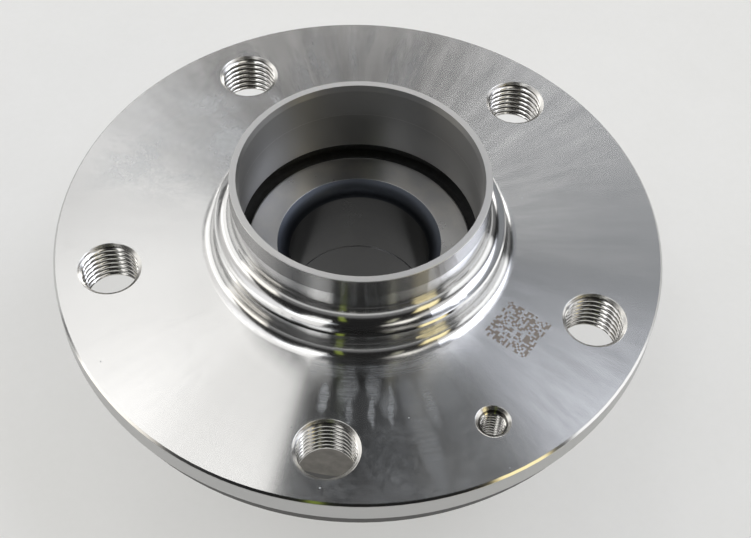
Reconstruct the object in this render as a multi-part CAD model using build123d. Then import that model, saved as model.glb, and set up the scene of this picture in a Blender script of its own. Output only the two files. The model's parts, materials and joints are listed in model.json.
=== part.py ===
from build123d import *

import math
import os

# Wheel hub bearing for a non-driven axle, in millimetres.
# Z is the axis of rotation and +Z points outboard, towards the wheel. Z = 0 is the inboard face
# of the inner rings, which sits against the shoulder of the stub axle. +X passes through the
# brake-disc screw hole. The flanged hub turns with the bearing's outer ring, while the two inner
# rings stand still on the axle.

# ---------------------------------------------------------------- driving dimensions
AXLE_BORE_RADIUS = 16.0
INNER_RING_WIDTH = 22.5
FLANGE_FACE_HEIGHT = 48.2
PILOT_TOP_HEIGHT = 67.7

# flange
FLANGE_RADIUS = 68.2
FLANGE_THICKNESS = 11.6
FLANGE_TURNED_BAND = 5.4
FLANGE_BACK_RADIUS = 66.1
FACE_EDGE_CHAMFER = 0.5
BACK_EDGE_FILLET = 0.9

# bolt circle
BOLT_COUNT = 5
BOLT_CIRCLE_RADIUS = 56.0
BOLT_THREAD_RADIUS = 7.0
BOLT_CHAMFER = 0.35
DISC_SCREW_RADIUS = 3.0
DISC_SCREW_COUNTERSINK = 0.8

# pilots on the outboard side
DISC_PILOT_RADIUS = 32.5
DISC_PILOT_HEIGHT = 5.9
DISC_PILOT_CHAMFER = 0.35
DISC_PILOT_FILLET = 3.0
WHEEL_PILOT_RADIUS = 28.5
WHEEL_PILOT_BASE = 59.4
WHEEL_PILOT_TOP = 63.2
WHEEL_PILOT_FILLET = 3.7
PILOT_RELIEF = 0.3
PILOT_LEAD_IN = 0.2
PILOT_TOP_EDGE = 0.1
CAP_BORE_RADIUS = 26.45
CAP_BORE_DEPTH = 9.0
CAP_LEAD_IN = 0.4
CAP_LEAD_IN_DEPTH = 1.5
PILOT_BORE_RADIUS = 26.75
PILOT_BORE_END = 48.1

# barrel around the bearing
BARREL_RADIUS = 43.6
BARREL_DRAFT = 0.7
BARREL_FILLET = 7.0
BACK_SLOPE_RADIUS = 55.0
BACK_SLOPE_DROP = 0.9
BACK_SLOPE_FILLET = 4.0
MACHINED_BAND_RADIUS = 42.9
MACHINED_BAND_HEIGHT = 13.0
NOSE_RADIUS = 41.0
NOSE_HEIGHT = 7.4
NOSE_STEP_CHAMFER = 0.4
NOSE_LEAD_IN = 0.5
HUB_END = 2.0
BEARING_BORE_RADIUS = 37.5
BEARING_SHOULDER = 43.0
SHOULDER_RELIEF_RADIUS = 29.5
SHOULDER_RELIEF_FILLET = 1.0

# double row of balls, back to back
BALL_COUNT = 12
BALL_RADIUS = 6.35
BALL_CIRCLE_RADIUS = 28.0
ROW_OFFSET = 9.0
CONTACT_ANGLE = 36.0
GROOVE_RADIUS = 1.04 * BALL_RADIUS
BALL_CLEARANCE = 0.05

# rings
INNER_SHOULDER_RADIUS = 25.4
INNER_LOW_SHOULDER_RADIUS = 22.1
INNER_SHOULDER_FILLET = 0.4
INNER_BORE_CORNER = 2.7
INNER_BORE_CORNER_DEPTH = 3.8
JOINT_CHAMFER = 0.3
OUTER_LAND_RADIUS = 31.2
OUTER_LOW_SHOULDER_RADIUS = 34.0
SEAL_SEAT_RADIUS = 34.6
SEAL_SEAT_DEPTH = 5.0
SEAL_SEAT_FILLET = 0.3
RING_CHAMFER = 0.8

# snap ring between the outer ring and the hub
SNAP_RING_INNER_RADIUS = 36.0
SNAP_RING_OUTER_RADIUS = 38.5
SNAP_RING_THICKNESS = 1.6
SNAP_GROOVE_SLACK = 0.15
SNAP_SQUEEZE_ROOM = 0.45
SNAP_RING_GAP = 7.0

# clip that holds the two inner rings together
CLIP_THICKNESS = 0.6
CLIP_HALF_WIDTH = 3.1
CLIP_HOOK_DEPTH = 0.9
CLIP_EDGE_FILLET = 0.4
CLIP_GROOVE_SLACK = 0.1

# cages
CAGE_INNER_RADIUS = 26.0
CAGE_OUTER_RADIUS = 30.7
CAGE_BACK_OFFSET = 7.7
CAGE_PRONG_REACH = 1.6
CAGE_EDGE_FILLET = 0.5
POCKET_CLEARANCE = 0.15
PRONG_NOTCH_RADIUS = 1.1

# seals, encoder
SHEET = 0.6
SEAL_OUTBOARD_DEPTH = 4.1
SEAL_INBOARD_DEPTH = 2.8
SEAL_INBOARD_INSET = 0.2
SEAL_FLANGE_INNER_RADIUS = 29.0
SEAL_END_INSET = 0.6
LIP_CLEARANCE = 0.06
LIP_ROOT_RADIUS = 27.6
LIP_WEB = 0.6
LIP_EDGE = 0.25
RUBBER_COVER = 0.5
RUBBER_COVER_INSET = 1.4
RUBBER_EDGE_FILLET = 0.3
RUBBER_BEAD_WIDTH = 0.8
DUST_LIP_HEIGHT = 1.1
MAIN_LIP_DROP = 1.3
MAIN_LIP_EDGE = 0.4
SIDE_LIP_WIDTH = 2.2
SIDE_LIP_THICKNESS = 0.4
SLEEVE_LIP_DROP = 1.4
SLINGER_OUTER_RADIUS = 32.3
SLINGER_START = 0.6
SLINGER_LENGTH = 4.6
ENCODER_MAGNET_THICKNESS = 0.8
ENCODER_INNER_RADIUS = 33.2
ENCODER_SLEEVE_LENGTH = 4.6
ENCODER_BEND = 0.6

# how far cutters run past what they cut
OVERCUT = 1.0

MID_PLANE = INNER_RING_WIDTH
BEARING_WIDTH = 2 * INNER_RING_WIDTH


# ---------------------------------------------------------------- helpers
def turned(*corners):
    """Solid of revolution about Z. A corner is (radius, height) or (radius, height, fillet)."""
    points = [corner[:2] for corner in corners]
    fillets = [corner[2] if len(corner) > 2 else 0 for corner in corners]
    outline = FilletPolyline(*points, radius=fillets, close=True)
    return revolve(Plane.XZ * make_face(outline), Axis.Z)


def inboard_copy(outboard_solid):
    """The same solid mirrored in the bearing's mid-plane."""
    return mirror(outboard_solid, Plane.XY.offset(MID_PLANE))


def ball_places(row):
    """Centres of one row's balls: row is +1 outboard, -1 inboard, and the rows are staggered."""
    stagger = 0 if row > 0 else 180 / BALL_COUNT
    spots = PolarLocations(BALL_CIRCLE_RADIUS, BALL_COUNT, start_angle=stagger)
    return [Pos(0, 0, MID_PLANE + row * ROW_OFFSET) * spot for spot in spots]


def groove(contact_side):
    """Torus that grinds the outboard raceway; contact_side is -1 in the inner ring, +1 in the outer."""
    shift = GROOVE_RADIUS - BALL_RADIUS - BALL_CLEARANCE
    angle = math.radians(CONTACT_ANGLE)
    major = BALL_CIRCLE_RADIUS - contact_side * shift * math.cos(angle)
    height = MID_PLANE + ROW_OFFSET + contact_side * shift * math.sin(angle)
    return Pos(0, 0, height) * Torus(major, GROOVE_RADIUS)


# ---------------------------------------------------------------- hub
def hub_blank():
    """The forged and turned hub without its holes."""
    face = FLANGE_FACE_HEIGHT
    back = face - FLANGE_THICKNESS
    shoulder = face + DISC_PILOT_HEIGHT
    cap_step = PILOT_TOP_HEIGHT - CAP_BORE_DEPTH
    step = PILOT_BORE_RADIUS - CAP_BORE_RADIUS
    band_depth = BARREL_RADIUS - MACHINED_BAND_RADIUS
    snap_half = SNAP_RING_THICKNESS / 2 + SNAP_GROOVE_SLACK
    snap_radius = SNAP_RING_OUTER_RADIUS + SNAP_GROOVE_SLACK
    return turned(
        # bearing bore, from the inboard end up to its shoulder
        (BEARING_BORE_RADIUS + RING_CHAMFER, HUB_END),
        (BEARING_BORE_RADIUS, HUB_END + RING_CHAMFER),
        (BEARING_BORE_RADIUS, MID_PLANE - snap_half),
        (snap_radius, MID_PLANE - snap_half),
        (snap_radius, MID_PLANE + snap_half),
        (BEARING_BORE_RADIUS, MID_PLANE + snap_half),
        (BEARING_BORE_RADIUS, BEARING_SHOULDER, RING_CHAMFER / 2),
        # relief behind the pilot bore, then the bore and the seat of the dust cap
        (SHOULDER_RELIEF_RADIUS, BEARING_SHOULDER),
        (SHOULDER_RELIEF_RADIUS, PILOT_BORE_END, SHOULDER_RELIEF_FILLET),
        (PILOT_BORE_RADIUS, PILOT_BORE_END),
        (PILOT_BORE_RADIUS, cap_step - step),
        (CAP_BORE_RADIUS, cap_step),
        (CAP_BORE_RADIUS, PILOT_TOP_HEIGHT - CAP_LEAD_IN_DEPTH),
        (CAP_BORE_RADIUS + CAP_LEAD_IN, PILOT_TOP_HEIGHT),
        # wheel pilot with its lead-in and relief
        (WHEEL_PILOT_RADIUS - PILOT_LEAD_IN - PILOT_TOP_EDGE, PILOT_TOP_HEIGHT),
        (WHEEL_PILOT_RADIUS - PILOT_LEAD_IN, PILOT_TOP_HEIGHT - PILOT_TOP_EDGE),
        (WHEEL_PILOT_RADIUS, WHEEL_PILOT_TOP),
        (WHEEL_PILOT_RADIUS, WHEEL_PILOT_BASE),
        (WHEEL_PILOT_RADIUS - PILOT_RELIEF, WHEEL_PILOT_BASE - PILOT_RELIEF),
        (WHEEL_PILOT_RADIUS - PILOT_RELIEF, shoulder + DISC_PILOT_CHAMFER, WHEEL_PILOT_FILLET),
        # disc pilot, flange face and rim
        (DISC_PILOT_RADIUS - DISC_PILOT_CHAMFER, shoulder + DISC_PILOT_CHAMFER),
        (DISC_PILOT_RADIUS, shoulder),
        (DISC_PILOT_RADIUS, face, DISC_PILOT_FILLET),
        (FLANGE_RADIUS - FACE_EDGE_CHAMFER, face),
        (FLANGE_RADIUS, face - FACE_EDGE_CHAMFER),
        (FLANGE_RADIUS, face - FLANGE_TURNED_BAND),
        (FLANGE_BACK_RADIUS, back, BACK_EDGE_FILLET),
        # forged back, barrel and the turned inboard end
        (BACK_SLOPE_RADIUS, back, BACK_SLOPE_FILLET),
        (BARREL_RADIUS + BARREL_DRAFT, back - BACK_SLOPE_DROP, BARREL_FILLET),
        (BARREL_RADIUS, MACHINED_BAND_HEIGHT + band_depth),
        (MACHINED_BAND_RADIUS, MACHINED_BAND_HEIGHT),
        (MACHINED_BAND_RADIUS, NOSE_HEIGHT + NOSE_STEP_CHAMFER),
        (MACHINED_BAND_RADIUS - NOSE_STEP_CHAMFER, NOSE_HEIGHT),
        (NOSE_RADIUS, NOSE_HEIGHT),
        (NOSE_RADIUS, HUB_END + NOSE_LEAD_IN),
        (NOSE_RADIUS - NOSE_LEAD_IN, HUB_END),
    )


def through_hole(radius, front_chamfer, back_chamfer):
    """Cutter for a flange hole at the bolt circle, chamfered at both mouths."""
    front = FLANGE_FACE_HEIGHT
    back = FLANGE_FACE_HEIGHT - FLANGE_THICKNESS
    cutter = turned(
        (0, back - OVERCUT),
        (radius + back_chamfer, back - OVERCUT),
        (radius + back_chamfer, back),
        (radius, back + back_chamfer),
        (radius, front - front_chamfer),
        (radius + front_chamfer, front),
        (radius + front_chamfer, front + OVERCUT),
        (0, front + OVERCUT),
    )
    return Pos(BOLT_CIRCLE_RADIUS, 0, 0) * cutter


def wheel_hub():
    """Flanged hub: bolt holes straddle the disc screw hole on +X."""
    hub = hub_blank()
    bolt_hole = through_hole(BOLT_THREAD_RADIUS, BOLT_CHAMFER, BOLT_CHAMFER)
    for index in range(BOLT_COUNT):
        hub -= Rot(0, 0, (index + 0.5) * 360 / BOLT_COUNT) * bolt_hole
    return hub - through_hole(DISC_SCREW_RADIUS, DISC_SCREW_COUNTERSINK, BOLT_CHAMFER)


# ---------------------------------------------------------------- bearing rings
def inner_ring_outboard():
    """Half inner ring: high shoulder at the outboard end, low shoulder at the joint."""
    top = BEARING_WIDTH
    clip_end = MID_PLANE + CLIP_HALF_WIDTH + CLIP_GROOVE_SLACK
    clip_start = clip_end - CLIP_THICKNESS - 2 * CLIP_GROOVE_SLACK
    clip_floor = INNER_LOW_SHOULDER_RADIUS - CLIP_HOOK_DEPTH - CLIP_GROOVE_SLACK
    blank = turned(
        (AXLE_BORE_RADIUS, MID_PLANE + JOINT_CHAMFER),
        (AXLE_BORE_RADIUS + JOINT_CHAMFER, MID_PLANE),
        (INNER_LOW_SHOULDER_RADIUS, MID_PLANE),
        (INNER_LOW_SHOULDER_RADIUS, clip_start),
        (clip_floor, clip_start),
        (clip_floor, clip_end),
        (INNER_LOW_SHOULDER_RADIUS, clip_end),
        (INNER_LOW_SHOULDER_RADIUS, MID_PLANE + ROW_OFFSET),
        (INNER_SHOULDER_RADIUS, MID_PLANE + ROW_OFFSET),
        (INNER_SHOULDER_RADIUS, top, INNER_SHOULDER_FILLET),
        (AXLE_BORE_RADIUS, top),
    )
    return blank - bore_corner() - groove(-1)


def bore_corner():
    """Cutter for the rounded mouth of the axle bore: an arc that runs tangent into the bore."""
    top = BEARING_WIDTH
    low = top - INNER_BORE_CORNER_DEPTH
    start = (AXLE_BORE_RADIUS, low)
    end = (AXLE_BORE_RADIUS + INNER_BORE_CORNER, top)
    clear = AXLE_BORE_RADIUS - OVERCUT
    edges = [
        Line((clear, low), start),
        TangentArc(start, end, tangent=(0, 1)),
        Line(end, (clear, top)),
        Line((clear, top), (clear, low)),
    ]
    return revolve(Plane.XZ * make_face(edges), Axis.Z)


def outer_ring():
    """Double-row outer ring: high land in the middle, low shoulders and seal seats at the ends."""
    snap_half = SNAP_RING_THICKNESS / 2 + SNAP_GROOVE_SLACK
    snap_floor = SNAP_RING_INNER_RADIUS - SNAP_SQUEEZE_ROOM
    seat_out = BEARING_SHOULDER - SEAL_SEAT_DEPTH
    seat_in = HUB_END + SEAL_SEAT_DEPTH
    ring = turned(
        (BEARING_BORE_RADIUS, HUB_END, RING_CHAMFER),
        (BEARING_BORE_RADIUS, MID_PLANE - snap_half),
        (snap_floor, MID_PLANE - snap_half),
        (snap_floor, MID_PLANE + snap_half),
        (BEARING_BORE_RADIUS, MID_PLANE + snap_half),
        (BEARING_BORE_RADIUS, BEARING_SHOULDER, RING_CHAMFER),
        (SEAL_SEAT_RADIUS, BEARING_SHOULDER, SEAL_SEAT_FILLET),
        (SEAL_SEAT_RADIUS, seat_out),
        (OUTER_LOW_SHOULDER_RADIUS, seat_out),
        (OUTER_LOW_SHOULDER_RADIUS, MID_PLANE + ROW_OFFSET),
        (OUTER_LAND_RADIUS, MID_PLANE + ROW_OFFSET),
        (OUTER_LAND_RADIUS, MID_PLANE - ROW_OFFSET),
        (OUTER_LOW_SHOULDER_RADIUS, MID_PLANE - ROW_OFFSET),
        (OUTER_LOW_SHOULDER_RADIUS, seat_in),
        (SEAL_SEAT_RADIUS, seat_in),
        (SEAL_SEAT_RADIUS, HUB_END, SEAL_SEAT_FILLET),
    )
    return ring - groove(1) - inboard_copy(groove(1))


def inner_ring_clip():
    """Thin channel ring whose two rims hook into the grooves of the inner rings."""
    inner = INNER_LOW_SHOULDER_RADIUS
    outer = inner + CLIP_THICKNESS
    hook = inner - CLIP_HOOK_DEPTH
    low = MID_PLANE - CLIP_HALF_WIDTH
    high = MID_PLANE + CLIP_HALF_WIDTH
    return turned(
        (hook, low),
        (outer, low, CLIP_EDGE_FILLET),
        (outer, high, CLIP_EDGE_FILLET),
        (hook, high),
        (hook, high - CLIP_THICKNESS),
        (inner, high - CLIP_THICKNESS),
        (inner, low + CLIP_THICKNESS),
        (hook, low + CLIP_THICKNESS),
    )


def snap_ring():
    """Open snap ring that locks the outer ring in the hub."""
    low = MID_PLANE - SNAP_RING_THICKNESS / 2
    high = MID_PLANE + SNAP_RING_THICKNESS / 2
    ring = turned(
        (SNAP_RING_INNER_RADIUS, low),
        (SNAP_RING_OUTER_RADIUS, low),
        (SNAP_RING_OUTER_RADIUS, high),
        (SNAP_RING_INNER_RADIUS, high),
    )
    ring_width = SNAP_RING_OUTER_RADIUS - SNAP_RING_INNER_RADIUS
    opening = Box(4 * ring_width, SNAP_RING_GAP, 2 * SNAP_RING_THICKNESS)
    return ring - Pos(SNAP_RING_OUTER_RADIUS, 0, MID_PLANE) * opening


# ---------------------------------------------------------------- rolling set
def ball(place):
    """One ball of a row."""
    return place * Sphere(BALL_RADIUS)


def cage_outboard():
    """Moulded snap cage: a solid rim outside the row and prongs that reach between the balls."""
    row = MID_PLANE + ROW_OFFSET
    cage = turned(
        (CAGE_INNER_RADIUS, row - CAGE_PRONG_REACH),
        (CAGE_OUTER_RADIUS, row - CAGE_PRONG_REACH),
        (CAGE_OUTER_RADIUS, row + CAGE_BACK_OFFSET, CAGE_EDGE_FILLET),
        (CAGE_INNER_RADIUS, row + CAGE_BACK_OFFSET, CAGE_EDGE_FILLET),
    )
    pocket = Sphere(BALL_RADIUS + POCKET_CLEARANCE)
    notch = Pos(0, 0, -CAGE_PRONG_REACH) * Rot(0, 90, 0) * Cylinder(PRONG_NOTCH_RADIUS, 3 * BALL_RADIUS)
    half_pitch = Rot(0, 0, 180 / BALL_COUNT)
    for place in ball_places(1):
        cage -= place * pocket
        cage -= half_pitch * place * notch
    return cage


# ---------------------------------------------------------------- seals
def seal_case_outboard():
    """Pressed steel case of the seal: a sleeve in the outer ring and a flange towards the axle."""
    top = BEARING_SHOULDER - SEAL_END_INSET
    return turned(
        (SEAL_SEAT_RADIUS, top - SEAL_OUTBOARD_DEPTH),
        (SEAL_SEAT_RADIUS, top, SHEET),
        (SEAL_FLANGE_INNER_RADIUS, top),
        (SEAL_FLANGE_INNER_RADIUS, top - SHEET),
        (SEAL_SEAT_RADIUS - SHEET, top - SHEET),
        (SEAL_SEAT_RADIUS - SHEET, top - SEAL_OUTBOARD_DEPTH),
    )


def seal_lip_outboard():
    """Rubber bonded to the case, with a main lip and a dust lip on the inner ring's shoulder."""
    case_top = BEARING_SHOULDER - SEAL_END_INSET
    case_low = case_top - SHEET
    cover = case_top + RUBBER_COVER
    bead = case_low - RUBBER_COVER
    flange = SEAL_FLANGE_INNER_RADIUS
    tip = INNER_SHOULDER_RADIUS + LIP_CLEARANCE
    web = tip + LIP_WEB
    return turned(
        (SEAL_SEAT_RADIUS - RUBBER_COVER_INSET, case_top),
        (SEAL_SEAT_RADIUS - RUBBER_COVER_INSET, cover, RUBBER_EDGE_FILLET),
        (LIP_ROOT_RADIUS, cover, RUBBER_EDGE_FILLET),
        (tip + LIP_EDGE, case_top + DUST_LIP_HEIGHT),
        (tip, case_top + DUST_LIP_HEIGHT - MAIN_LIP_EDGE),
        (web, case_top),
        (web, case_low),
        (tip, case_low - MAIN_LIP_DROP),
        (tip + MAIN_LIP_EDGE, case_low - MAIN_LIP_DROP - MAIN_LIP_EDGE),
        (LIP_ROOT_RADIUS, bead),
        (flange + RUBBER_BEAD_WIDTH, bead),
        (flange + RUBBER_BEAD_WIDTH, case_low),
        (flange, case_low),
        (flange, case_top),
    )


def seal_case_inboard():
    """Pressed steel case of the cassette seal."""
    low = HUB_END + SEAL_INBOARD_INSET
    high = low + SEAL_INBOARD_DEPTH
    return turned(
        (SEAL_SEAT_RADIUS, low),
        (SEAL_SEAT_RADIUS, high, SHEET),
        (SEAL_FLANGE_INNER_RADIUS, high),
        (SEAL_FLANGE_INNER_RADIUS, high - SHEET),
        (SEAL_SEAT_RADIUS - SHEET, high - SHEET),
        (SEAL_SEAT_RADIUS - SHEET, low),
    )


def seal_lip_inboard():
    """Rubber of the cassette seal: one lip on the slinger's sleeve and one on its flange."""
    case_high = HUB_END + SEAL_INBOARD_INSET + SEAL_INBOARD_DEPTH
    case_low = case_high - SHEET
    flange = SEAL_FLANGE_INNER_RADIUS
    lip_end = flange + SIDE_LIP_WIDTH
    tip = INNER_SHOULDER_RADIUS + SHEET + LIP_CLEARANCE
    wipe = SLINGER_START + SHEET + LIP_CLEARANCE
    return turned(
        (flange, case_low),
        (lip_end, case_low),
        (lip_end, case_low - RUBBER_COVER),
        (flange + SIDE_LIP_THICKNESS, case_low - RUBBER_COVER - SIDE_LIP_THICKNESS),
        (lip_end, wipe + LIP_EDGE),
        (lip_end - SIDE_LIP_THICKNESS, wipe),
        (LIP_ROOT_RADIUS + SIDE_LIP_THICKNESS, case_low - 2 * RUBBER_COVER),
        (tip, case_low - SLEEVE_LIP_DROP),
        (tip, case_low - SLEEVE_LIP_DROP + RUBBER_COVER),
        (LIP_ROOT_RADIUS, case_low),
        (LIP_ROOT_RADIUS, case_high),
        (flange, case_high),
    )


def seal_slinger():
    """Steel slinger pressed on the inboard inner ring; its flange shields the seal lips."""
    inner = INNER_SHOULDER_RADIUS
    return turned(
        (inner, SLINGER_START, SHEET),
        (SLINGER_OUTER_RADIUS, SLINGER_START),
        (SLINGER_OUTER_RADIUS, SLINGER_START + SHEET),
        (inner + SHEET, SLINGER_START + SHEET),
        (inner + SHEET, SLINGER_START + SLINGER_LENGTH),
        (inner, SLINGER_START + SLINGER_LENGTH),
    )


# ---------------------------------------------------------------- speed encoder
def encoder_carrier():
    """Sheet-steel cup pressed over the hub's nose; it carries the magnet ring."""
    face = HUB_END - SHEET
    outer = NOSE_RADIUS + SHEET
    return turned(
        (ENCODER_INNER_RADIUS, face),
        (outer, face, SHEET + ENCODER_BEND),
        (outer, HUB_END + ENCODER_SLEEVE_LENGTH),
        (NOSE_RADIUS, HUB_END + ENCODER_SLEEVE_LENGTH),
        (NOSE_RADIUS, HUB_END, ENCODER_BEND / 2),
        (ENCODER_INNER_RADIUS, HUB_END),
    )


def encoder_ring():
    """Magnetised rubber ring bonded to the carrier, read by the wheel-speed sensor."""
    face = HUB_END - SHEET
    outer = NOSE_RADIUS - ENCODER_BEND
    return turned(
        (ENCODER_INNER_RADIUS, face),
        (ENCODER_INNER_RADIUS, face - ENCODER_MAGNET_THICKNESS, RUBBER_EDGE_FILLET),
        (outer, face - ENCODER_MAGNET_THICKNESS, RUBBER_EDGE_FILLET),
        (outer, face),
    )


# ---------------------------------------------------------------- output
def build_parts():
    """Every sub-part by the name of its node."""
    cage = cage_outboard()
    half_pitch = Rot(0, 0, 180 / BALL_COUNT)
    parts = {
        "wheel_hub": wheel_hub(),
        "bearing_outer_ring": outer_ring(),
        "inner_ring_outboard": inner_ring_outboard(),
        "inner_ring_inboard": inboard_copy(inner_ring_outboard()),
        "inner_ring_clip": inner_ring_clip(),
        "bearing_snap_ring": snap_ring(),
        "ball_cage_outboard": cage,
        "ball_cage_inboard": half_pitch * inboard_copy(cage),
        "seal_outboard_case": seal_case_outboard(),
        "seal_outboard_lip": seal_lip_outboard(),
        "seal_inboard_case": seal_case_inboard(),
        "seal_inboard_lip": seal_lip_inboard(),
        "seal_inboard_slinger": seal_slinger(),
        "encoder_carrier": encoder_carrier(),
        "encoder_magnet_ring": encoder_ring(),
    }
    for name, row in (("outboard", 1), ("inboard", -1)):
        for number, place in enumerate(ball_places(row), start=1):
            parts[f"ball_{name}_{number:02d}"] = ball(place)
    return parts


os.makedirs("parts", exist_ok=True)
for node, solid in build_parts().items():
    export_step(solid, f"parts/{node}.step")
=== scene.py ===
import json
import math

import bmesh
import bpy
from mathutils import Matrix, Vector


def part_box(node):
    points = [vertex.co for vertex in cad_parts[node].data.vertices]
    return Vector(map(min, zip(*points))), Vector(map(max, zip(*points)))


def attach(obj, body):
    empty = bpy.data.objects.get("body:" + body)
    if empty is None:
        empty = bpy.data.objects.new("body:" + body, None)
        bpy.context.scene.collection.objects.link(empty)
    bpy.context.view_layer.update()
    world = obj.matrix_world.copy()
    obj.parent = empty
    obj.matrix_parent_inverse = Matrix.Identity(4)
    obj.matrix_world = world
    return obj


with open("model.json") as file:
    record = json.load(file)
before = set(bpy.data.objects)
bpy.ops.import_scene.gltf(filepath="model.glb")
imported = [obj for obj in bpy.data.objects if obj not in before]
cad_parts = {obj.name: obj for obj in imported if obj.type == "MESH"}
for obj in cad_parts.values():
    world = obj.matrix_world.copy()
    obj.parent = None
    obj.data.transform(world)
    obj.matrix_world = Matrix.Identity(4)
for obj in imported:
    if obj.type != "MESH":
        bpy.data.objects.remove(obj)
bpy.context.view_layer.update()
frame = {"nodes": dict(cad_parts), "record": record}

# The looks of a wheel hub bearing, in metres. Z is its axis and +Z points outboard.
# The hub's flange is turned: its grooves run round Z, so the steel mirrors light in sectors.

MM = 0.001

# ---------------------------------------------------------------- sizes
FLANGE_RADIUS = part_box("wheel_hub")[1].x
HUB_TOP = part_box("wheel_hub")[1].z
RING_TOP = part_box("inner_ring_outboard")[1].z
MOUNTS = {mount["name"]: mount for mount in frame["record"]["mounts"]}
FACE_Z = MOUNTS["wheel_bolts"]["pos_m"][2]
BOLT_CIRCLE = MOUNTS["wheel_bolts"]["dims"]["pcd_mm"] / 2 * MM
BOLT_RADIUS = MOUNTS["wheel_bolts"]["dims"]["hole_r_mm"] * MM
BOLT_COUNT = MOUNTS["wheel_bolts"]["dims"]["count"]
SCREW_RADIUS = MOUNTS["disc_screw"]["dims"]["r_mm"] * MM
AXLE_RADIUS = MOUNTS["axle_bore"]["dims"]["r_mm"] * MM
DISC_PILOT_RADIUS = MOUNTS["disc_pilot"]["dims"]["r_mm"] * MM
CAP_BORE_RADIUS = MOUNTS["dust_cap_bore"]["dims"]["r_mm"] * MM
# heights and radii of the hub that the frame doesn't name
FLANGE_THICKNESS = 11.6 * MM
TURNED_BAND = 5.4 * MM
LEAD_IN_START = 63.2 * MM
MACHINED_TOP = 13.4 * MM
BORE_LINE = 58.7 * MM
BARREL_RADIUS = 44.5 * MM
RIM_SHADE_RADIUS = 60 * MM

# ---------------------------------------------------------------- camera
CAMERA_AZIMUTH = math.radians(58.35)
CAMERA_ELEVATION = math.radians(53.13)
CAMERA_DISTANCE = 0.2954
CAMERA_ROLL = math.radians(2.54)
CAMERA_LENS = 64.05
AIM_RIGHT = 3.95 * MM
AIM_DEEP = -10.18 * MM


def to_part(vector):
    """A vector in the camera's frame (x right, y away, z up) turned into the part's frame."""
    return Matrix.Rotation(CAMERA_AZIMUTH, 3, "Z") @ Vector(vector)


def add_camera():
    """The camera above the wheel's side of the flange."""
    away = Vector((0, math.cos(CAMERA_ELEVATION), -math.sin(CAMERA_ELEVATION)))
    level_up = Vector((0, math.sin(CAMERA_ELEVATION), math.cos(CAMERA_ELEVATION)))
    level_right = Vector((1, 0, 0))
    right = math.cos(CAMERA_ROLL) * level_right + math.sin(CAMERA_ROLL) * level_up
    up = math.cos(CAMERA_ROLL) * level_up - math.sin(CAMERA_ROLL) * level_right
    target = Vector((AIM_RIGHT, AIM_DEEP, FACE_Z))
    place = to_part(target - CAMERA_DISTANCE * away)
    axes = [to_part(right), to_part(up), to_part(-away)]
    camera = bpy.data.objects.new("camera", bpy.data.cameras.new("camera"))
    camera.data.sensor_fit = "HORIZONTAL"
    camera.data.sensor_width = 36
    camera.data.lens = CAMERA_LENS
    camera.data.clip_start = 0.01
    camera.matrix_world = Matrix.Translation(place) @ Matrix(axes).transposed().to_4x4()
    bpy.context.scene.collection.objects.link(camera)
    bpy.context.scene.camera = camera


# ---------------------------------------------------------------- node helpers
def wire(node, sockets):
    """Sets a node's inputs by name or number: each to a plain value or to another node's output."""
    for key, value in sockets.items():
        if isinstance(value, bpy.types.NodeSocket):
            node.id_data.links.new(value, node.inputs[key])
        else:
            node.inputs[key].default_value = value


def add(tree, kind, sockets=None, **settings):
    """A new node with its settings and inputs."""
    node = tree.nodes.new("ShaderNode" + kind)
    for key, value in settings.items():
        setattr(node, key, value)
    wire(node, sockets or {})
    return node


def calc(tree, operation, first, second=0.0, third=0.0):
    """A number worked out from one to three numbers."""
    node = add(tree, "Math", {0: first, 1: second, 2: third}, operation=operation)
    return node.outputs[0]


def step(tree, value, low, high):
    """Rises smoothly from 0 at low to 1 at high, or falls if low is the larger."""
    if low > high:
        return calc(tree, "SUBTRACT", 1.0, step(tree, value, high, low))
    sockets = {"Value": value, "From Min": low, "From Max": high}
    return add(tree, "MapRange", sockets, interpolation_type="SMOOTHSTEP").outputs[0]


def window(tree, value, low, high, soft):
    """1 between low and high, fading to 0 over soft on both sides."""
    rise = step(tree, value, low - soft, low)
    fall = step(tree, value, high + soft, high)
    return calc(tree, "MULTIPLY", rise, fall)


def product(tree, *values):
    """All the values multiplied."""
    result = values[0]
    for value in values[1:]:
        result = calc(tree, "MULTIPLY", result, value)
    return result


def blend_colour(tree, share, first, second):
    """The colour first where share is 0 and second where it is 1."""
    node = add(tree, "Mix", {"Factor": share}, data_type="RGBA")
    wire(node, {6: first, 7: second})
    return node.outputs[2]


def noise(tree, where, scale, detail=3.0, roughness=0.5, distortion=0.0):
    """Noise from 0 to 1."""
    sockets = {"Vector": where, "Scale": scale, "Detail": detail, "Roughness": roughness}
    return add(tree, "TexNoise", {**sockets, "Distortion": distortion}).outputs[0]


def remap(tree, value, low, high, to_low, to_high):
    """value stretched from low..high to to_low..to_high, and held there."""
    sockets = {"From Min": low, "From Max": high, "To Min": to_low, "To Max": to_high}
    return add(tree, "MapRange", {"Value": value, **sockets}).outputs[0]


def blend(tree, share, first, second):
    """The number first where share is 0 and second where it is 1."""
    return add(tree, "Mix", {"Factor": share, 2: first, 3: second}, data_type="FLOAT").outputs[0]


def scaled(tree, vector, factor):
    """A vector or colour times a number."""
    return add(tree, "VectorMath", {0: vector, "Scale": factor}, operation="SCALE").outputs[0]


def added(tree, first, second):
    """The sum of two vectors or colours."""
    return add(tree, "VectorMath", {0: first, 1: second}, operation="ADD").outputs[0]


def rgba(red, green, blue):
    """An opaque colour."""
    return (red, green, blue, 1.0)


def grey(value):
    """A neutral opaque colour."""
    return (value, value, value, 1.0)


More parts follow.
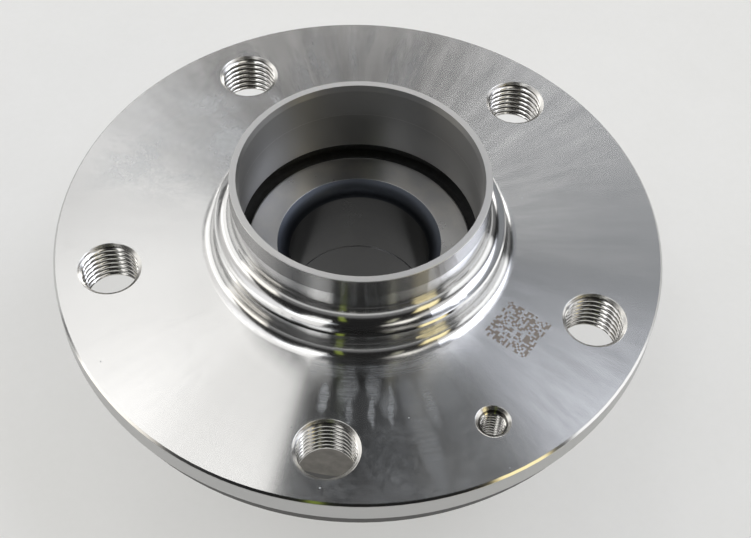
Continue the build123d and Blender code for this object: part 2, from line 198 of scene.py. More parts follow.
class Surface:
    """A material, its Principled shader and the place of each point round the Z axis."""

    def __init__(self, name):
        self.material = bpy.data.materials.new(name)
        self.material.use_nodes = True
        self.tree = self.material.node_tree
        self.shader = self.tree.nodes["Principled BSDF"]
        self.output = self.tree.nodes["Material Output"]
        self.place = add(self.tree, "TexCoord").outputs["Object"]
        split = add(self.tree, "SeparateXYZ", {0: self.place})
        self.x, self.y, self.z = split.outputs
        level = add(self.tree, "CombineXYZ", {0: self.x, 1: self.y}).outputs[0]
        self.radius = add(self.tree, "VectorMath", {0: level}, operation="LENGTH").outputs[1]

    def spokes(self, around, along):
        """A texture place that stretches along the radius, without a seam."""
        unit = [calc(self.tree, "DIVIDE", part, self.radius) for part in (self.x, self.y)]
        parts = [calc(self.tree, "MULTIPLY", part, around) for part in unit]
        parts.append(calc(self.tree, "MULTIPLY", self.radius, along))
        return add(self.tree, "CombineXYZ", dict(enumerate(parts))).outputs[0]

    def lines(self, run, around, across):
        """A texture place for lines round Z, which change fast along run and slowly round Z."""
        parts = [calc(self.tree, "MULTIPLY", part, around) for part in (self.x, self.y)]
        parts.append(calc(self.tree, "MULTIPLY", run, across))
        return add(self.tree, "CombineXYZ", dict(enumerate(parts))).outputs[0]

    def grooves(self):
        """The direction of grooves that run round Z."""
        return add(self.tree, "Tangent", direction_type="RADIAL", axis="Z").outputs[0]

    def lean(self, tilt):
        """The smooth normal leaned across the grooves."""
        normal = add(self.tree, "NewGeometry").outputs["Normal"]
        sockets = {0: self.grooves(), 1: normal}
        across = add(self.tree, "VectorMath", sockets, operation="CROSS_PRODUCT").outputs[0]
        leaned = added(self.tree, normal, scaled(self.tree, across, tilt))
        return add(self.tree, "VectorMath", {0: leaned}, operation="NORMALIZE").outputs[0]

    def bump(self, height, distance, strength=1.0):
        """A normal bent by a height from 0 to 1 that stands for distance in metres."""
        sockets = {"Height": height, "Distance": distance, "Strength": strength}
        return add(self.tree, "Bump", sockets).outputs[0]

    def set(self, **sockets):
        """Sets the shader's inputs; an underscore in a name stands for a space."""
        wire(self.shader, {key.replace("_", " "): value for key, value in sockets.items()})


# ---------------------------------------------------------------- steel of the hub
# The turning tool's marks run across the face, and on along the walls WALL_RUN times as fast.
WALL_RUN = 0.62
FEED = 0.5 * MM
FEED_TILT = 0.005
TOOL_TILT = 0.018
WAVE_TILT = 0.010
STEEL_TINT = (1.0, 1.0, 0.995)
FORGED_GRAIN = 900
PIT_GRAIN = 330
PIT_DEPTH = 0.10 * MM
# finish of each turned zone: roughness, anisotropy and how bright the steel is
WALL_FINISH = (0.11, 0.66, 0.62)
FACE_FINISH = (0.145, 0.79, 0.75)
BORE_FINISH = (0.40, 0.50, 0.42)
# the bore line's high tone is a painted highlight where a small chamfer would catch light
BORE_LINE_HIGHLIGHT = (0.50, 0.20, 0.70)
# the nose band's low tone is painted shade, for the shadowed paper that it mirrors
NOSE_SHADE_FINISH = (0.34, 0.50, 0.16)
LEAD_IN_FINISH = (0.18, 0.65, 0.42)
TOP_FINISH = (0.40, 0.20, 0.58)
RIM_FINISH = (0.48, 0.20, 0.58)
EDGE_FINISH = (0.10, 0.00, 0.60)
STREAK_ROUGHNESS = 0.06
STREAK_TONE = 0.12
# the forged skin's two tones, and the painted shade under the flange's edge
SKIN_COLOURS = (rgba(0.19, 0.181, 0.167), rgba(0.27, 0.256, 0.236))
RIM_SHADE_COLOUR = rgba(0.035, 0.034, 0.032)
# the film's colour near the camera and behind the pilot, and the colour of the laser's flecks
FILM_COLOURS = (rgba(0.50, 0.52, 0.535), rgba(0.25, 0.255, 0.26))
FLECK_COLOUR = rgba(0.17, 0.125, 0.085)
FLECK_STRENGTH = 0.75
# The marks of finger tips in front of the pilot. Each row holds the angle in degrees at the inner
# and at the outer end, the inner and outer radius and the half width in mm, and the strength.
# SMEARS is the oil left between the fingers and WIPED is where they wiped it off.
SMEARS = (
    (-97.4, -97.2, 40.8, 47.5, 0.75, 0.75),
    (-90.6, -91.2, 37.6, 44.8, 1.75, 0.50),
    (-90.4, -90.1, 42.5, 50.5, 0.60, 0.50),
    (-84.4, -84.6, 42.0, 50.5, 0.50, 0.60),
    (-83.4, -83.8, 37.8, 44.8, 1.20, 0.50),
    (-78.6, -80.2, 41.2, 50.5, 0.55, 0.65),
    (-79.9, -80.1, 42.8, 48.5, 1.30, 0.35),
    (-73.9, -73.2, 38.5, 67.0, 2.00, 0.34),
    (-69.4, -69.8, 40.5, 52.0, 1.20, 0.42),
    (-66.0, -65.0, 36.5, 50.0, 3.40, 0.30),
)
WIPED = (
    (-99.6, -99.4, 38.8, 49.5, 1.20, 1.00),
    (-94.3, -95.2, 38.8, 49.0, 1.55, 0.90),
    (-86.9, -87.2, 36.8, 51.0, 1.45, 1.00),
    (-81.6, -82.2, 39.5, 49.0, 1.00, 0.90),
    (-76.7, -77.0, 40.0, 51.0, 1.30, 0.90),
    (-71.6, -71.6, 40.5, 49.0, 0.90, 0.60),
)
MARK_WANDER = 1.6 * MM
MARK_FADE = 2.4
# Where the film lies: from, to and softness of the edge, by angle in degrees and by radius in mm.
# Angle 0 is to the right of the picture and 90 is away from the camera.
UPPER_LEFT = ((130, 160, 18), (36, 60, 8))
TOP = ((80, 120, 8), (44, 62, 6))
FOOT = ((-102, -62, 3), (36.2, 38.6, 1))
DUSTY_ANGLES = (-101, -58, 3)
# grains of dust: how many cells a metre holds, the size of a grain and the share of cells with one
SPECK_CELLS = 210.0
SPECK_SIZE = 0.055
SPECK_SHARE = 0.14
# the square of laser flecks: right and away of the axle's line, turn, half size and cell in mm
PATCH_CENTRE = (34.9, -24.6)
PATCH_TURN = math.radians(-34.8)
PATCH_HALF = 5.4
PATCH_EDGE = 0.05 * MM
PATCH_CELL = 0.49
PATCH_SHARE = 0.53


def on_circle(degrees, radius):
    """The point of a circle at that angle."""
    return radius * Vector((math.cos(math.radians(degrees)), math.sin(math.radians(degrees))))


def turned_place(tree, right, away, centre, run):
    """A point's place from centre (in mm): first along the unit vector run, then across it."""
    right = calc(tree, "SUBTRACT", right, centre.x * MM)
    away = calc(tree, "SUBTRACT", away, centre.y * MM)
    along = calc(tree, "MULTIPLY_ADD", right, run.x, calc(tree, "MULTIPLY", away, run.y))
    across = calc(tree, "MULTIPLY_ADD", away, run.x, calc(tree, "MULTIPLY", right, -run.y))
    return along, across


def finger_marks(surface, right, away, table):
    """How strong the marks of a table are at each point."""
    tree = surface.tree
    wander = calc(tree, "SUBTRACT", noise(tree, surface.place, 420, detail=4.0), 0.5)
    total = 0.0
    for near_angle, far_angle, inner, outer, half_width, strength in table:
        near, far = on_circle(near_angle, inner), on_circle(far_angle, outer)
        run = (far - near).normalized()
        along, side = turned_place(tree, right, away, (near + far) / 2, run)
        side = calc(tree, "MULTIPLY_ADD", wander, MARK_WANDER, side)
        along = calc(tree, "ABSOLUTE", calc(tree, "DIVIDE", along, (far - near).length / 2 * MM))
        across = calc(tree, "ABSOLUTE", calc(tree, "DIVIDE", side, half_width * MM))
        reach = calc(tree, "ADD", calc(tree, "POWER", along, 2.5), calc(tree, "POWER", across, 2.0))
        mark = calc(tree, "MULTIPLY", step(tree, reach, MARK_FADE, 0.0), strength)
        total = calc(tree, "MAXIMUM", total, mark)
    return total


def region(surface, degrees, angles, radii):
    """1 inside a sector of a ring and 0 outside it."""
    low, high, soft = (value * MM for value in radii)
    in_ring = window(surface.tree, surface.radius, low, high, soft)
    return product(surface.tree, window(surface.tree, degrees, *angles), in_ring)


def oil_film(surface, right, away):
    """How much of the flange's face a dull film of oil covers."""
    tree = surface.tree
    degrees = calc(tree, "DEGREES", calc(tree, "ARCTAN2", away, right))
    cloud = noise(tree, surface.place, 60, detail=6.0, roughness=0.65, distortion=0.6)
    fine = noise(tree, surface.place, 700, detail=4.0, roughness=0.65)
    wipes = noise(tree, surface.spokes(11.0, 30), 1.0, detail=5.0, roughness=0.6)
    lines = noise(tree, surface.lines(surface.radius, 60, 2600), 1.0, detail=3.0, roughness=0.7)
    lines = remap(tree, lines, 0.35, 0.62, 0.55, 1.0)

    # clouds and wipes on the whole face, and more of them at the upper left and at the top
    film = product(tree, remap(tree, cloud, 0.48, 0.72, 0.0, 1.0),
                   remap(tree, wipes, 0.4, 0.65, 0.0, 0.10))
    upper_left = product(tree, region(surface, degrees, *UPPER_LEFT),
                         remap(tree, cloud, 0.40, 0.60, 0.0, 0.55))
    top = product(tree, region(surface, degrees, *TOP), remap(tree, wipes, 0.44, 0.60, 0.0, 0.7))
    # a line of oil at the pilot's foot, and dust round the finger marks
    foot = product(tree, region(surface, degrees, *FOOT), remap(tree, lines, 0.4, 1.0, 0.05, 0.5))
    dusty = product(tree, window(tree, degrees, *DUSTY_ANGLES),
                    remap(tree, cloud, 0.42, 0.62, 0.03, 0.24),
                    remap(tree, fine, 0.35, 0.6, 0.4, 1.0))
    for part in (upper_left, top, dusty, foot):
        film = calc(tree, "MAXIMUM", film, part)

    wiped = calc(tree, "SUBTRACT", 1.0, finger_marks(surface, right, away, WIPED))
    smears = calc(tree, "MULTIPLY", finger_marks(surface, right, away, SMEARS), lines)
    film = calc(tree, "MAXIMUM", calc(tree, "MULTIPLY", film, wiped), smears)
    film = product(tree, film, remap(tree, fine, 0.3, 0.6, 0.7, 1.0))
    return calc(tree, "MAXIMUM", film, specks(surface))


def specks(surface):
    """A few bright grains of dust."""
    tree = surface.tree
    cells = add(tree, "TexVoronoi", {"Vector": surface.place, "Scale": SPECK_CELLS})
    chosen = add(tree, "SeparateXYZ", {0: cells.outputs["Color"]}).outputs[0]
    grain = step(tree, cells.outputs["Distance"], SPECK_SIZE, 0.03)
    return product(tree, grain, step(tree, chosen, 1 - SPECK_SHARE, 1.01 - SPECK_SHARE))


def laser_patch(surface, right, away):
    """A plain square of laser-annealed flecks that hold no message."""
    tree = surface.tree
    run = Vector((math.cos(PATCH_TURN), math.sin(PATCH_TURN)))
    place = turned_place(tree, right, away, Vector(PATCH_CENTRE), run)
    edge = PATCH_HALF * MM
    inside = product(tree, *(step(tree, calc(tree, "ABSOLUTE", part), edge, edge - PATCH_EDGE)
                             for part in place))
    cells = [calc(tree, "FLOOR", calc(tree, "DIVIDE", part, PATCH_CELL * MM)) for part in place]
    cell = add(tree, "CombineXYZ", dict(enumerate(cells))).outputs[0]
    fleck = add(tree, "TexWhiteNoise", {"Vector": cell}).outputs["Value"]
    return product(tree, inside, step(tree, fleck, PATCH_SHARE, PATCH_SHARE + 0.02))


def groove_tilt(surface):
    """How far the turned surface leans: the tool's feed, its torn edge and a slow wave."""
    tree = surface.tree
    run = calc(tree, "MULTIPLY_ADD", surface.z, WALL_RUN, surface.radius)
    feed = calc(tree, "SINE", calc(tree, "MULTIPLY", run, 2 * math.pi / FEED))
    tool = noise(tree, surface.lines(run, 10, 2200), 1.0, detail=3.0, roughness=0.7)
    wave = noise(tree, surface.lines(run, 14, 330), 1.0, detail=2.0)
    tilt = calc(tree, "MULTIPLY_ADD", calc(tree, "SUBTRACT", tool, 0.5), TOOL_TILT,
                calc(tree, "MULTIPLY", feed, FEED_TILT))
    return calc(tree, "MULTIPLY_ADD", calc(tree, "SUBTRACT", wave, 0.5), WAVE_TILT, tilt)


def turned_zones(surface):
    """Each zone's share, from 0 to 1, and its finish; a later zone lies over those before it."""
    tree, radius, z = surface.tree, surface.radius, surface.z
    past_pilot = step(tree, radius, DISC_PILOT_RADIUS + 0.2 * MM, DISC_PILOT_RADIUS + 2.5 * MM)
    on_face = product(tree, step(tree, z, FACE_Z - 0.1 * MM, FACE_Z - 0.02 * MM), past_pilot)
    on_lead_in = step(tree, z, LEAD_IN_START - 0.05 * MM, LEAD_IN_START + 0.05 * MM)
    on_nose = step(tree, z, MACHINED_TOP + 0.1 * MM, MACHINED_TOP - 0.1 * MM)
    in_bore = step(tree, radius, CAP_BORE_RADIUS + 0.5 * MM, CAP_BORE_RADIUS + 0.38 * MM)
    on_line = window(tree, z, BORE_LINE - 0.05 * MM, BORE_LINE + 0.05 * MM, 0.04 * MM)
    on_top = product(tree, step(tree, z, HUB_TOP - 0.14 * MM, HUB_TOP - 0.1 * MM),
                     step(tree, radius, CAP_BORE_RADIUS + 0.34 * MM, CAP_BORE_RADIUS + 0.42 * MM))
    at_rim = step(tree, radius, FLANGE_RADIUS - 0.56 * MM, FLANGE_RADIUS - 0.5 * MM)
    on_rim = product(tree, at_rim, step(tree, z, FACE_Z - 0.42 * MM, FACE_Z - 0.48 * MM))
    return {
        "face": (on_face, FACE_FINISH),
        "lead_in": (on_lead_in, LEAD_IN_FINISH),
        "nose": (on_nose, NOSE_SHADE_FINISH),
        "bore": (in_bore, BORE_FINISH),
        "bore_line": (product(tree, in_bore, on_line), BORE_LINE_HIGHLIGHT),
        "top": (on_top, TOP_FINISH),
        "edge": (at_rim, EDGE_FINISH),
        "rim": (on_rim, RIM_FINISH),
    }


def turned_steel(surface, zones):
    """A shader for bright steel, each zone with its own finish."""
    tree = surface.tree
    finish = list(WALL_FINISH)
    for share, zone_finish in zones.values():
        finish = [blend(tree, share, under, over) for under, over in zip(finish, zone_finish)]
    rough, anisotropy, tone = finish
    streaks = noise(tree, surface.spokes(16.0, 60), 1.0, detail=5.0, roughness=0.65)
    streaks = calc(tree, "MULTIPLY", calc(tree, "SUBTRACT", streaks, 0.5), zones["face"][0])
    rough = calc(tree, "MULTIPLY_ADD", streaks, STREAK_ROUGHNESS, rough)
    tone = calc(tree, "MULTIPLY_ADD", streaks, STREAK_TONE, tone)
    calm = calc(tree, "MAXIMUM", zones["edge"][0], zones["top"][0])
    tilt = calc(tree, "MULTIPLY", groove_tilt(surface), calc(tree, "SUBTRACT", 1.0, calm))
    return add(tree, "BsdfAnisotropic", {
        "Color": scaled(tree, STEEL_TINT, tone), "Roughness": rough, "Anisotropy": anisotropy,
        "Normal": surface.lean(tilt), "Tangent": surface.grooves(),
    }).outputs[0]


def forged_skin(surface):
    """A shader for dark, pitted forging scale with painted shade under the flange's edge."""
    tree = surface.tree
    grain = noise(tree, surface.place, FORGED_GRAIN, detail=5.0, roughness=0.6)
    pits = noise(tree, surface.place, PIT_GRAIN, detail=4.0, roughness=0.6)
    height = calc(tree, "MULTIPLY_ADD", pits, 0.8, grain)
    colour = blend_colour(tree, remap(tree, pits, 0.35, 0.7, 0.0, 1.0), *SKIN_COLOURS)
    # painted shade: the skin turns near black under the flange's edge
    rim_shade = step(tree, surface.radius, RIM_SHADE_RADIUS - 3 * MM, RIM_SHADE_RADIUS + 3 * MM)
    colour = blend_colour(tree, rim_shade, colour, RIM_SHADE_COLOUR)
    return add(tree, "BsdfPrincipled", {
        "Base Color": colour, "Metallic": 0.65, "Roughness": 0.52,
        "Normal": surface.bump(height, PIT_DEPTH, 0.9),
    }).outputs[0]


def make_hub_steel():
    """Turned steel with a light film of oil, and dark forged skin where it wasn't machined."""
    surface = Surface("hub_steel")
    tree, radius, z = surface.tree, surface.radius, surface.z
    turn = add(tree, "VectorRotate", {"Vector": surface.place, "Angle": -CAMERA_AZIMUTH})
    right, away, _ = add(tree, "SeparateXYZ", {0: turn.outputs[0]}).outputs
    zones = turned_zones(surface)
    turned = turned_steel(surface, zones)

    # the dull film and the laser's flecks lie on the face alone
    flecks = laser_patch(surface, right, away)
    film = oil_film(surface, right, away)
    cover = calc(tree, "MAXIMUM", film, calc(tree, "MULTIPLY", flecks, FLECK_STRENGTH))
    cover = calc(tree, "MULTIPLY", zones["face"][0], cover)
    behind = step(tree, away, 38 * MM, 44 * MM)
    colour = blend_colour(tree, behind, *FILM_COLOURS)
    colour = blend_colour(tree, flecks, colour, FLECK_COLOUR)
    surface.set(Base_Color=colour, Metallic=calc(tree, "SUBTRACT", 1.0, flecks), Roughness=0.46)
    covered = add(tree, "MixShader", {0: cover, 1: turned, 2: surface.shader.outputs[0]})

    skin_end = FACE_Z - TURNED_BAND
    forged = product(tree, step(tree, z, skin_end, skin_end - 0.15 * MM),
                     step(tree, z, MACHINED_TOP - 0.1 * MM, MACHINED_TOP + 0.1 * MM),
                     step(tree, radius, BARREL_RADIUS - 1.3 * MM, BARREL_RADIUS - 1.2 * MM))
    both = {0: forged, 1: covered.outputs[0], 2: forged_skin(surface)}
    wire(surface.output, {"Surface": add(tree, "MixShader", both).outputs[0]})
    return surface.material


# ---------------------------------------------------------------- the other materials
CORNER_WIDTH = 2.7 * MM
CORNER_DEPTH = 3.8 * MM
GRIND_TILT = 0.05
# two tones for the ring's face; one each for the bore (painted shade), its corners and its joint
# (painted light)
RING_FACE_COLOURS = (grey(0.47), rgba(0.53, 0.52, 0.495))
RING_BORE_SHADE = grey(0.13)
CORNER_COLOUR = rgba(0.070, 0.078, 0.094)
JOINT_PAINTED_LIGHT = grey(0.22)
CREST_COLOURS = (rgba(0.70, 0.69, 0.67), rgba(0.80, 0.79, 0.76))
ROOT_OIL_AND_SHADE = rgba(0.13, 0.125, 0.115)


def make_ring_steel():
    """Ground bearing steel; the bore's rounded corners keep their blue-black heat-treated skin."""
    surface = Surface("ring_steel")
    tree = surface.tree
    from_middle = calc(tree, "ABSOLUTE", calc(tree, "SUBTRACT", surface.z, RING_TOP / 2))
    corner_low = RING_TOP / 2 - CORNER_DEPTH
    corner_out = AXLE_RADIUS + CORNER_WIDTH
    in_corner = product(tree, step(tree, from_middle, corner_low, corner_low + 0.3 * MM),
                        step(tree, surface.radius, corner_out, corner_out - 0.1 * MM))
    in_bore = step(tree, surface.radius, AXLE_RADIUS + 0.5 * MM, AXLE_RADIUS + 0.4 * MM)
    at_joint = product(tree, in_bore, step(tree, from_middle, 0.34 * MM, 0.30 * MM))
    run = calc(tree, "ADD", surface.radius, surface.z)
    grind = noise(tree, surface.lines(run, 20, 1500), 1.0, detail=3.0, roughness=0.7)
    cloud = noise(tree, surface.place, 120, detail=5.0, roughness=0.6)
    colour = blend_colour(tree, remap(tree, cloud, 0.42, 0.62, 0.0, 1.0), *RING_FACE_COLOURS)
    # painted shade: the bore is darker than the ring's face
    colour = blend_colour(tree, in_bore, colour, RING_BORE_SHADE)
    colour = blend_colour(tree, in_corner, colour, CORNER_COLOUR)
    # painted light: the joint's groove is lightened to fill its own shade
    colour = blend_colour(tree, at_joint, colour, JOINT_PAINTED_LIGHT)
    rough = calc(tree, "MULTIPLY_ADD", cloud, 0.10, 0.24)
    rough = calc(tree, "MULTIPLY_ADD", in_corner, 0.16, rough)
    anisotropy = calc(tree, "MULTIPLY_ADD", in_corner, -0.8, 0.85)
    tilt = calc(tree, "MULTIPLY", calc(tree, "SUBTRACT", grind, 0.5), GRIND_TILT)
    surface.set(Base_Color=colour, Metallic=1.0, Roughness=rough, Normal=surface.lean(tilt))
    surface.set(Anisotropic=anisotropy, Anisotropic_Rotation=0.25, Tangent=surface.grooves())
    return surface.material


def make_thread_steel(name, major, pitch):
    """Tapped steel with bright crests and dark roots of oil and painted shade."""
    surface = Surface(name)
    tree = surface.tree
    tear = noise(tree, surface.place, 300, detail=3.0)
    # the roots' dark tone is partly oil and partly painted shade, deeper in the groove
    crest = step(tree, surface.radius, major - 0.12 * pitch, major - 0.48 * pitch)
    lead_in = step(tree, surface.z, FACE_Z - 0.75 * pitch, FACE_Z - 0.55 * pitch)
    bright = calc(tree, "MAXIMUM", crest, calc(tree, "MULTIPLY", lead_in, 0.8))
    colour = blend_colour(tree, tear, *CREST_COLOURS)
    colour = blend_colour(tree, bright, ROOT_OIL_AND_SHADE, colour)
    rough = calc(tree, "MULTIPLY_ADD", tear, 0.06, 0.13)
    rough = calc(tree, "MULTIPLY_ADD", lead_in, 0.10, rough)
    surface.set(Base_Color=colour, Metallic=1.0, Roughness=rough)
    return surface.material


def make_plain(name, low, high, grain, bump, **sockets):
    """A material whose colour wanders between two tones, with a grain of that fineness."""
    surface = Surface(name)
    tree = surface.tree
    cloud = noise(tree, surface.place, grain, detail=5.0, roughness=0.6)
    colour = blend_colour(tree, remap(tree, cloud, 0.35, 0.65, 0.0, 1.0), low, high)
    surface.set(Base_Color=colour, Normal=surface.bump(cloud, bump), **sockets)
    return surface.material


def make_materials():
    """Every material by the record's slot."""
    return {
        "forged_hub_steel": make_hub_steel(),
        "bearing_steel": make_ring_steel(),
        "ball_steel": make_plain(
            "ball_steel", grey(0.82), grey(0.88), 300, 0.0002 * MM,
            Metallic=1.0, Roughness=0.06),
        "spring_steel": make_plain(
            "spring_steel", rgba(0.10, 0.11, 0.14), rgba(0.17, 0.17, 0.19), 500, 0.004 * MM,
            Metallic=0.9, Roughness=0.34),
        "cage_polyamide": make_plain(
            "cage_polyamide", rgba(0.63, 0.56, 0.40), rgba(0.72, 0.65, 0.48), 260, 0.01 * MM,
            Roughness=0.48, Subsurface_Weight=0.1, Subsurface_Scale=0.002),
        "seal_steel": make_plain(
            "seal_steel", rgba(0.50, 0.50, 0.49), rgba(0.60, 0.60, 0.58), 380, 0.003 * MM,
            Metallic=1.0, Roughness=0.32),
        "seal_rubber": make_plain(
            "seal_rubber", grey(0.012), grey(0.026), 700, 0.02 * MM,
            Roughness=0.55),
        "encoder_rubber": make_plain(
            "encoder_rubber", rgba(0.030, 0.028, 0.026), rgba(0.055, 0.050, 0.046), 520, 0.012 * MM,
            Roughness=0.6),
    }


def dress_nodes(materials):
    """Each CAD node gets the material of its slot."""
    for part in frame["record"]["subparts"]:
        node = frame["nodes"][part["node"]]
        node.data.materials.clear()
        node.data.materials.append(materials[part["material_slot"]])


# ---------------------------------------------------------------- threads
THREAD_STEPS = 120
ROWS_PER_PITCH = 16
THREAD_PHASE = 0.52
SHARP_ANGLE = math.radians(50)
# the sleeve that carries a thread: its wall, and how far it stays inside the CAD hole's flat facets
SLEEVE_WALL = 0.5 * MM
SLEEVE_INSET = 0.03 * MM
MOUTH_INSET = 0.10 * MM
SCREW_ROOT_INSET = 0.14 * MM
# the CAD holes' chamfers, and the narrower mouth that the photograph shows on the wheel-bolt holes
COUNTERSINK = 0.8 * MM
BOLT_CHAMFER = 0.35 * MM
BOLT_MOUTH = BOLT_RADIUS + 0.06 * MM
MOUTH_RING_DROP = 0.004 * MM
MOUTH_RING_LIP = 0.02 * MM
# slope is how fast the mouth narrows with depth
BOLT_THREAD = {
    "major": BOLT_RADIUS, "pitch": 1.5 * MM, "mouth": BOLT_MOUTH, "slope": 1.3,
    "root_inset": SLEEVE_INSET,
}
SCREW_THREAD = {
    "major": SCREW_RADIUS, "pitch": 1.0 * MM, "mouth": SCREW_RADIUS + COUNTERSINK - MOUTH_INSET,
    "slope": 1.0, "root_inset": SCREW_ROOT_INSET,
}


def bolt_centres():
    """The places of the wheel-bolt holes."""
    for index in range(BOLT_COUNT):
        angle = (index + 0.5) * 2 * math.pi / BOLT_COUNT
        yield BOLT_CIRCLE * Vector((math.cos(angle), math.sin(angle), 0))


def thread_radius(turn, major, pitch):
    """Radius of an internal ISO thread where turn is how far, in pitches, the groove has gone."""
    depth = 0.5413 * pitch
    flank, crest, root = 0.3125, 0.25, 0.125
    t = turn % 1.0
    if t < crest:
        share = 0.0
    elif t < crest + flank:
        share = (t - crest) / flank
    elif t < crest + flank + root:
        share = 1.0
    else:
        share = (1.0 - t) / flank
    return major - depth * (1.0 - share)


def loop_of(mesh, radii, z, centre=(0, 0)):
    """A loop of vertices round a hole's centre, with a radius for each step."""
    loop = []
    for index, radius in enumerate(radii):
        angle = 2 * math.pi * index / THREAD_STEPS
        x = centre[0] + radius * math.cos(angle)
        y = centre[1] + radius * math.sin(angle)
        loop.append(mesh.verts.new((x, y, z)))
    return loop


def join(mesh, near, far):
    """Faces from one loop to the next; they face up where the next loop is wider."""
    for k in range(THREAD_STEPS):
        after = (k + 1) % THREAD_STEPS
        mesh.faces.new((near[after], near[k], far[k], far[after]))


def hub_piece(name, mesh, material, place=(0, 0, 0), smooth=False):
    """A piece that turns with the hub. A smooth one keeps only its steep edges sharp."""
    for face in mesh.faces:
        face.smooth = smooth
    data = bpy.data.meshes.new(name)
    mesh.to_mesh(data)
    mesh.free()
    if smooth:
        data.set_sharp_from_angle(angle=SHARP_ANGLE)
    data.materials.append(material)
    piece = bpy.data.objects.new(name, data)
    piece.location = place
    bpy.context.scene.collection.objects.link(piece)
    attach(piece, "rotating_hub")


def tapped_hole(name, place, material, major, pitch, mouth, slope, root_inset):
    """The thread of one flange hole: a closed sleeve, helical inside and plain outside."""
    top = FACE_Z - SLEEVE_INSET
    low = FACE_Z - FLANGE_THICKNESS + SLEEVE_INSET
    rows = round((top - low) / pitch * ROWS_PER_PITCH)
    mesh = bmesh.new()
    loops = []
    for row in range(rows + 1):
        z = low + (top - low) * row / rows
        cone = mouth - min(top - z, z - low) * slope
        radii = []
        for column in range(THREAD_STEPS):
            turn = z / pitch - column / THREAD_STEPS + THREAD_PHASE
            radius = min(thread_radius(turn, major - SLEEVE_INSET, pitch), major - root_inset)
            radii.append(max(radius, cone))
        loops.append(loop_of(mesh, radii, z))
    outside = [max(mouth, major) + SLEEVE_WALL] * THREAD_STEPS
    loops.extend(loop_of(mesh, outside, z) for z in (top, low))
    for near, far in zip(loops, loops[1:] + loops[:1]):
        join(mesh, near, far)
    hub_piece(name, mesh, material, place, smooth=True)


def add_threads():
    """Five M14 x 1.5 wheel-bolt threads and the M6 thread of the brake-disc screw."""
    steel = make_thread_steel("bolt_thread_steel", BOLT_THREAD["major"], BOLT_THREAD["pitch"])
    for index, centre in enumerate(bolt_centres()):
        tapped_hole(f"bolt_thread_{index + 1}", centre, steel, **BOLT_THREAD)
    steel = make_thread_steel("screw_thread_steel", SCREW_THREAD["major"], SCREW_THREAD["pitch"])
    tapped_hole("disc_screw_thread", (BOLT_CIRCLE, 0, 0), steel, **SCREW_THREAD)


def add_mouth_rings(material):
    """The flange's face drawn in to the wheel-bolt threads, over the solid's wider chamfers."""
    top = FACE_Z - MOUTH_RING_DROP
    lip = (BOLT_MOUTH - MOUTH_RING_LIP, top - MOUTH_RING_LIP)
    mesh = bmesh.new()
    for centre in bolt_centres():
        loops = [loop_of(mesh, [radius] * THREAD_STEPS, z, centre)
                 for radius, z in (lip, (BOLT_MOUTH, top), (BOLT_RADIUS + BOLT_CHAMFER, top))]
        for near, far in zip(loops, loops[1:]):
            join(mesh, near, far)
    hub_piece("bolt_hole_mouths", mesh, material)


# ---------------------------------------------------------------- stage and light
FLOOR_REACH = 4.0
FLOOR_DROP = 0.2 * MM
PAPER_WHITE = 0.87
PAPER_GLOW = 0.44
# The lights, each as the object sees it. Azimuth 0 is to the right of the picture and 90 is away
# from the camera. Each row holds the azimuth and elevation of its middle, its half width, half
# height and softness of edge, all in degrees, then its colour and its strength.
SOFT_BOXES = {
    "overhead": (171.5, 74.5, 38, 6.8, 1, (1.0, 0.99, 0.97), 1.2),
    "left_front": (-146, 68, 11, 5, 4, (0.97, 1.0, 1.05), 1.5),
    "left_wall": (159, 48, 24, 20, 6, (1.0, 0.98, 0.96), 0.80),
    "left_mid": (156, 22, 26, 16, 8, (1.0, 0.99, 0.97), 1.3),
    "left_high": (168, 60, 17, 8, 5, (0.97, 0.99, 1.06), 0.42),
    "left_low": (-164, 8, 16, 10, 8, (1.0, 0.95, 0.86), 1.7),
    "right": (22, 53, 15, 15, 8, (0.95, 0.98, 1.08), 3.0),
    "right_dim": (-11, 51, 12, 12, 8, (1.0, 0.98, 0.95), 0.9),
    "right_high": (-30, 70, 6, 6, 6, (1.0, 0.97, 0.9), 1.8),
    "far_low": (88, 22, 36, 10, 6, (1.0, 0.98, 0.96), 3.2),
    "far_mid": (66, 45, 13, 17, 8, (0.95, 0.99, 1.05), 0.32),
    "far_left": (111, 42, 5, 12, 6, (1.0, 1.0, 1.0), 0.56),
    "right_low": (4, 15, 24, 14, 6, (1.0, 1.0, 1.0), 1.4),
    "golden": (-37, 24, 8, 12, 4, (1.0, 0.85, 0.46), 1.7),
    "yellow": (-100, 32, 2, 15, 2, (0.8, 1.0, 0.15), 0.3),
    "cream": (-58, 51, 2, 8, 2, (1.0, 0.98, 0.75), 0.5),
}
AMBIENT = 0.02
HAZE = 0.20
HAZE_TOP = 0.42
BELOW = 0.75
HORIZON_SOFTNESS = 0.03


def direction(azimuth, elevation):
    """The unit vector that points that way."""
    level = math.cos(elevation)
    return Vector((level * math.cos(azimuth), level * math.sin(azimuth), math.sin(elevation)))


def soft_box(tree, ray, azimuth, elevation, half_width, half_height, softness):
    """1 where the ray meets a soft box that faces the object, fading out over its edge."""
    azimuth, elevation = math.radians(azimuth), math.radians(elevation)
    middle = direction(azimuth, elevation)
    side = direction(azimuth + math.pi / 2, 0.0)
    ahead = add(tree, "VectorMath", {0: ray, 1: middle}, operation="DOT_PRODUCT").outputs[1]
    share = 1.0
    for axis, half in ((side, half_width), (middle.cross(side), half_height)):
        off = add(tree, "VectorMath", {0: ray, 1: axis}, operation="DOT_PRODUCT").outputs[1]
        off = calc(tree, "DEGREES", calc(tree, "ARCTAN2", calc(tree, "ABSOLUTE", off), ahead))
        inside = step(tree, off, half + softness / 2, half - softness / 2)
        share = calc(tree, "MULTIPLY", inside, share)
    return share


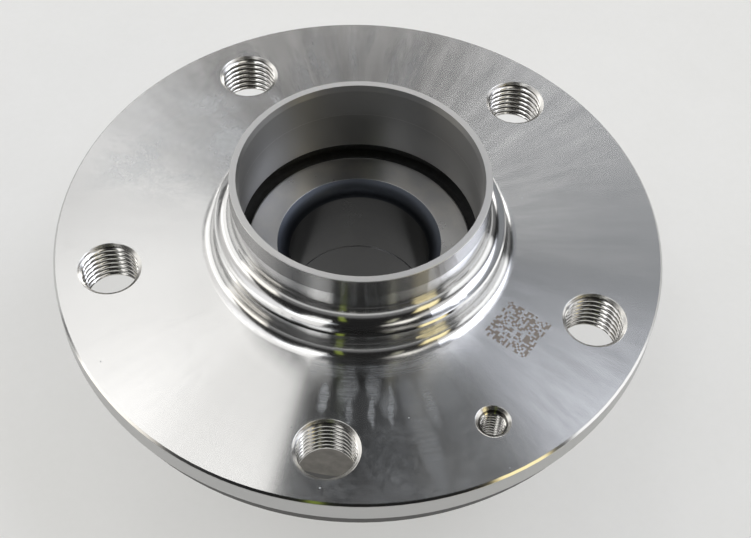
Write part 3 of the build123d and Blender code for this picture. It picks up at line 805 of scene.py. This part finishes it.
def add_world():
    """A dark room with soft boxes, hazy near the horizon and pale below it."""
    world = bpy.data.worlds.new("studio")
    bpy.context.scene.world = world
    world.use_nodes = True
    tree = world.node_tree
    ray = add(tree, "TexCoord").outputs["Generated"]
    ray = add(tree, "VectorRotate", {"Vector": ray, "Angle": -CAMERA_AZIMUTH}).outputs[0]
    height = add(tree, "SeparateXYZ", {0: ray}).outputs[2]
    room = calc(tree, "MULTIPLY_ADD", step(tree, height, HAZE_TOP, HAZE_TOP / 2), HAZE, AMBIENT)
    below = step(tree, height, HORIZON_SOFTNESS, -HORIZON_SOFTNESS)
    total = added(tree, blend_colour(tree, below, grey(0.0), grey(BELOW)), room)
    for *place, colour, strength in SOFT_BOXES.values():
        share = calc(tree, "MULTIPLY", soft_box(tree, ray, *place), strength)
        total = added(tree, total, scaled(tree, colour, share))
    wire(tree.nodes["Background"], {"Color": total, "Strength": 1.0})


def make_paper():
    """Pale matt paper. The camera and the metal see it glow a little, so its shadows stay light."""
    surface = Surface("paper")
    tree = surface.tree
    cloud = noise(tree, surface.place, 30, detail=5.0, roughness=0.6)
    fibre = noise(tree, surface.place, 420, detail=4.0, roughness=0.7)
    mottle = remap(tree, calc(tree, "MULTIPLY_ADD", fibre, 0.5, cloud), 0.55, 0.95, 0.0, 1.0)
    colour = blend_colour(tree, mottle, rgba(0.36, 0.36, 0.352), rgba(0.385, 0.385, 0.38))
    surface.set(Base_Color=colour, Roughness=0.9)
    surface.set(Emission_Color=rgba(1.0, 1.0, 0.985), Emission_Strength=PAPER_GLOW)
    paper = add(tree, "BsdfDiffuse", {"Color": grey(PAPER_WHITE)})
    path = add(tree, "LightPath").outputs
    seen = calc(tree, "MAXIMUM", path["Is Camera Ray"], path["Is Glossy Ray"])
    seen = calc(tree, "MAXIMUM", seen, path["Is Transmission Ray"])
    shown = add(tree, "MixShader", {0: seen, 1: paper.outputs[0], 2: surface.shader.outputs[0]})
    wire(surface.output, {"Surface": shown.outputs[0]})
    return surface.material


def add_floor():
    """A sheet of paper under the hub."""
    data = bpy.data.meshes.new("floor")
    corners = [(right * FLOOR_REACH, away * FLOOR_REACH, -FLOOR_DROP)
               for right, away in ((-1, -1), (1, -1), (1, 1), (-1, 1))]
    data.from_pydata(corners, [], [(0, 1, 2, 3)])
    floor = bpy.data.objects.new("floor", data)
    bpy.context.scene.collection.objects.link(floor)
    data.materials.append(make_paper())


# ---------------------------------------------------------------- the scene
bpy.context.scene.view_settings.view_transform = "Standard"
add_camera()
add_world()
add_floor()
materials = make_materials()
dress_nodes(materials)
add_threads()
add_mouth_rings(materials["forged_hub_steel"])
